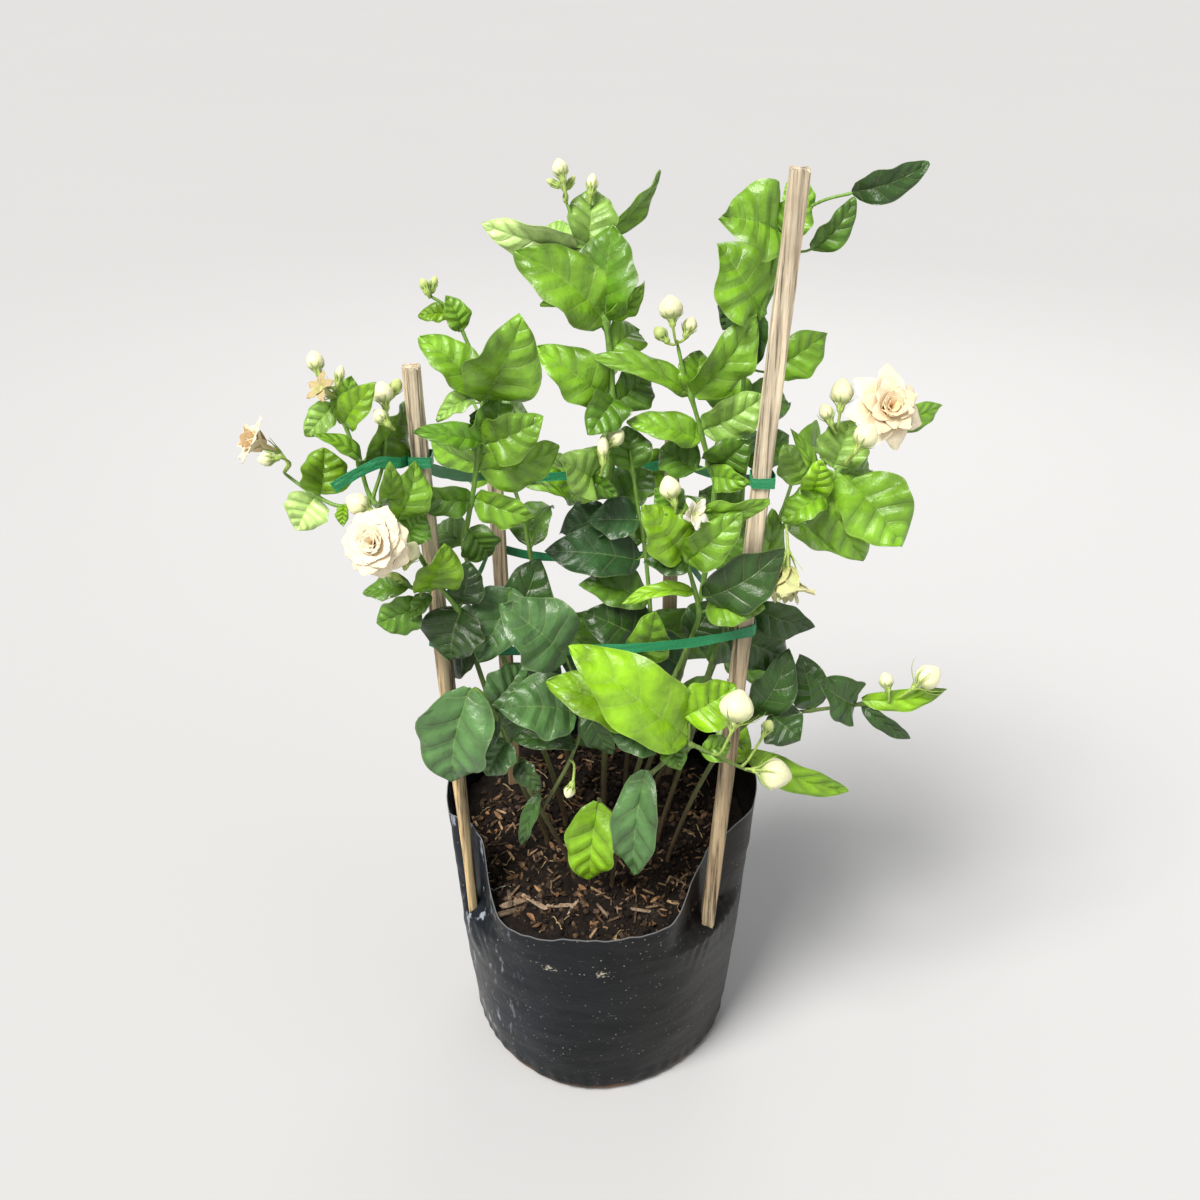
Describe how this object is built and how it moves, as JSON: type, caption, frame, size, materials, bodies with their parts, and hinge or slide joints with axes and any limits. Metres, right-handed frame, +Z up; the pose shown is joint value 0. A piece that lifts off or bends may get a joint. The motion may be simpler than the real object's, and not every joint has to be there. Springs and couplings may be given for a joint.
{
  "type": "potted jasmine plant",
  "caption": "Young double-flowered jasmine in a black grow bag, propped by split stakes and green raffia ties.",
  "frame": {"origin": "centre of the bag's flat bottom", "axes": "+Z up along the bag's axis, -Y towards the plant's front, where the rim is lowest"},
  "size_m": [0.4089, 0.2873, 0.5983],
  "materials": {
    "film": "black polythene film with a soft sheen, scratched and dusty",
    "soil_mix": "dark potting mix of husks, bark and straw",
    "wood": "split, weathered wood",
    "raffia": "thin green raffia tape, ribbed along its length",
    "leaf": "living leaf with raised veins and a waxy sheen",
    "petal": "soft cream petals"
  },
  "bodies": {
    "root": {"bud_centre": "petal", "bud_centre_long": "petal", "bud_front": "petal", "bud_front_low": "petal", "bud_left_large": "petal", "bud_left_low": "petal", "bud_left_pair_a": "petal", "bud_left_pair_b": "petal", "bud_left_round": "petal", "bud_left_side": "petal", "bud_left_small": "petal", "bud_low_right": "petal", "bud_low_right_small": "petal", "bud_middle": "petal", "bud_right_cream": "petal", "bud_right_high": "petal", "bud_right_large": "petal", "bud_right_mid": "petal", "bud_right_small": "petal", "bud_soil": "petal", "bud_top": "petal", "bud_top_back": "petal", "flower_dried": "petal", "flower_faded": "petal", "flower_far_left": "petal", "flower_left": "petal", "flower_right": "petal", "flower_spent": "petal", "grow_bag": "film", "shoot_back_left": "leaf", "shoot_back_right": "leaf", "shoot_back_side": "leaf", "shoot_centre_right": "leaf", "shoot_far_left": "leaf", "shoot_front": "leaf", "shoot_left": "leaf", "shoot_low_left": "leaf", "shoot_middle": "leaf", "shoot_right": "leaf", "shoot_right_low": "leaf", "shoot_right_tall": "leaf", "shoot_tall": "leaf", "soil": "soil_mix", "stake_back_left": "wood", "stake_back_right": "wood", "stake_front_left": "wood", "stake_front_right": "wood", "tie_lower": "raffia", "tie_upper": "raffia"}
  },
  "joints": []
}
